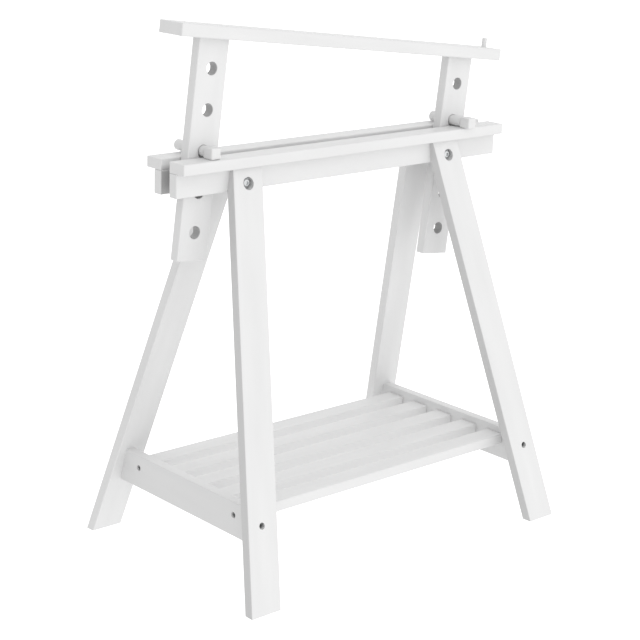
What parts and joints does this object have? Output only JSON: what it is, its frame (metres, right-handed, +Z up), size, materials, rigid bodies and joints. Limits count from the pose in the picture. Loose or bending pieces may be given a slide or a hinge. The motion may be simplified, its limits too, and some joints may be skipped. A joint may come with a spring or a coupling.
{
  "type": "adjustable table trestle",
  "caption": "White-painted wooden table trestle with a peg-adjusted, tilting top bar on splayed legs and a slatted shelf.",
  "frame": {"origin": "on the floor under the middle of the two rails", "axes": "+X along the rails towards the low end of the top bar, -Y to the front, +Z up"},
  "size_m": [0.705, 0.4518, 0.888],
  "materials": {
    "white_paint": "satin white paint on pine",
    "zinc_steel": "bright zinc plate",
    "dark_steel": "dull zinc plate",
    "bare_beech": "bare fluted beech"
  },
  "bodies": {
    "trestle": {"front_top_slat": "white_paint", "rear_top_slat": "white_paint", "front_apron": "white_paint", "rear_apron": "white_paint", "front_left_leg": "white_paint", "front_right_leg": "white_paint", "rear_left_leg": "white_paint", "rear_right_leg": "white_paint", "left_cross_rail": "white_paint", "right_cross_rail": "white_paint", "shelf_slat_1": "white_paint", "shelf_slat_2": "white_paint", "shelf_slat_3": "white_paint", "shelf_slat_4": "white_paint", "shelf_slat_5": "white_paint", "left_spacer_block": "white_paint", "right_spacer_block": "white_paint", "leg_bolts": "zinc_steel", "leg_washers": "zinc_steel", "leg_inserts": "dark_steel", "cross_rail_bolts": "dark_steel", "barrel_nuts": "dark_steel", "rail_dowels": "bare_beech", "spacer_dowels": "bare_beech", "shelf_dowels": "bare_beech"},
    "left_peg": {"left_peg": "white_paint"},
    "top_bar": {"top_board": "white_paint", "left_upright": "white_paint", "right_upright": "white_paint", "stop_dowel": "white_paint", "board_dowels": "bare_beech"},
    "right_peg": {"right_peg": "white_paint"}
  },
  "joints": [
    {"name": "height", "type": "slide", "parent": "trestle", "child": "left_peg", "axis": [0.1164, 0, 0.9932], "range_m": [0, 0.127]},
    {"name": "tilt", "type": "hinge", "parent": "left_peg", "child": "top_bar", "pos_m": [-0.284, 0, 0.68735], "axis": [0, -1, 0], "range_deg": [0, 19.8]},
    {"name": "right_peg_pull", "type": "slide", "parent": "top_bar", "child": "right_peg", "axis": [0, -1, 0], "range_m": [-0.0255, 0.055]}
  ]
}
